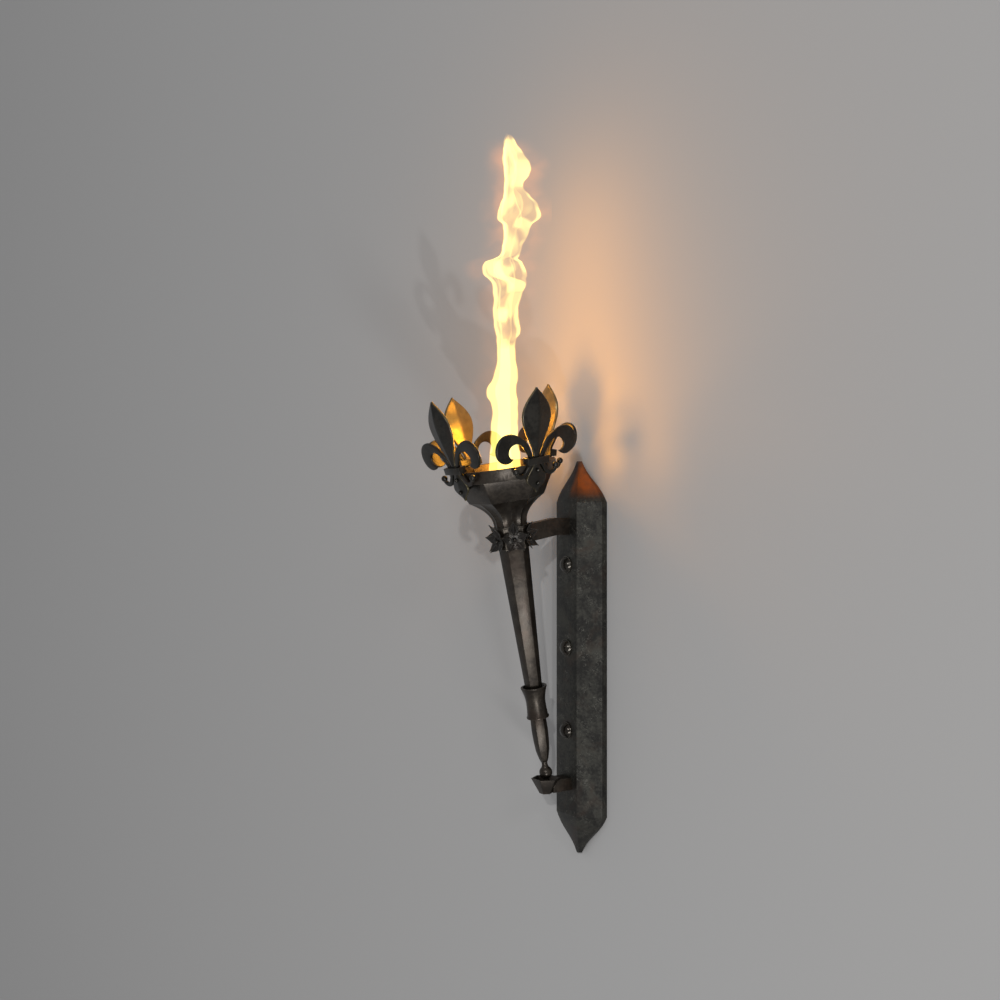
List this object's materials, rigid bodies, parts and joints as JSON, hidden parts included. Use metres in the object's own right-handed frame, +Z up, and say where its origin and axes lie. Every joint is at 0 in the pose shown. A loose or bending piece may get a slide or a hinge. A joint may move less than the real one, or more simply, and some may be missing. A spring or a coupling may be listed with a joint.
{
  "type": "torch sconce",
  "caption": "Wall sconce: a leaning six-sided iron torch with a fleur-de-lis crown, held by a collar and a cup on a folded wall plate.",
  "frame": {"origin": "on the wall, in the middle of the wall plate's height and width", "axes": "+X to the right when facing the wall, -Y out of the wall into the room, +Z up"},
  "size_m": [0.2156, 0.2807, 0.715],
  "materials": {
    "wrought_iron": "aged, waxed, satin",
    "bright_steel": "darkened steel, polished by handling",
    "tinplate": "dull tinplate",
    "wick_fibre": "charred mineral fibre"
  },
  "bodies": {
    "bracket": {"wall_strap": "bright_steel", "mounting_studs": "bright_steel", "wall_plate": "wrought_iron", "dome_nuts": "bright_steel", "upper_arm": "wrought_iron", "lower_arm": "wrought_iron", "arm_washers": "bright_steel", "arm_nuts": "bright_steel", "collar_ring": "wrought_iron", "rosette_1": "wrought_iron", "rosette_2": "wrought_iron", "rosette_3": "wrought_iron", "rosette_4": "wrought_iron", "rosette_5": "wrought_iron", "rosette_rivets": "bright_steel", "socket_cup": "wrought_iron"},
    "torch": {"rim_ring": "wrought_iron", "bowl": "wrought_iron", "neck": "wrought_iron", "shaft": "wrought_iron", "ferrule": "wrought_iron", "grip": "wrought_iron", "ball_finial": "wrought_iron", "tie_rod": "bright_steel", "rod_washer": "bright_steel", "rod_nut": "bright_steel", "fleur_petal_front": "wrought_iron", "fleur_petal_right": "wrought_iron", "fleur_petal_back": "wrought_iron", "fleur_petal_left": "wrought_iron", "fleur_scroll_front_a": "wrought_iron", "fleur_scroll_front_b": "wrought_iron", "fleur_scroll_right_a": "wrought_iron", "fleur_scroll_right_b": "wrought_iron", "fleur_scroll_back_a": "wrought_iron", "fleur_scroll_back_b": "wrought_iron", "fleur_scroll_left_a": "wrought_iron", "fleur_scroll_left_b": "wrought_iron", "fleur_band_front": "wrought_iron", "fleur_band_right": "wrought_iron", "fleur_band_back": "wrought_iron", "fleur_band_left": "wrought_iron", "fleur_rivets": "bright_steel"},
    "burner": {"fuel_can": "tinplate", "can_lid": "tinplate", "wick_pad": "wick_fibre"}
  },
  "joints": [
    {"name": "torch_lift", "type": "slide", "parent": "bracket", "child": "torch", "axis": [0, -0.1736, 0.9848], "range_m": [0, 0.42]},
    {"name": "burner_lift", "type": "slide", "parent": "torch", "child": "burner", "axis": [0, -0.1736, 0.9848], "range_m": [0, 0.18]}
  ]
}
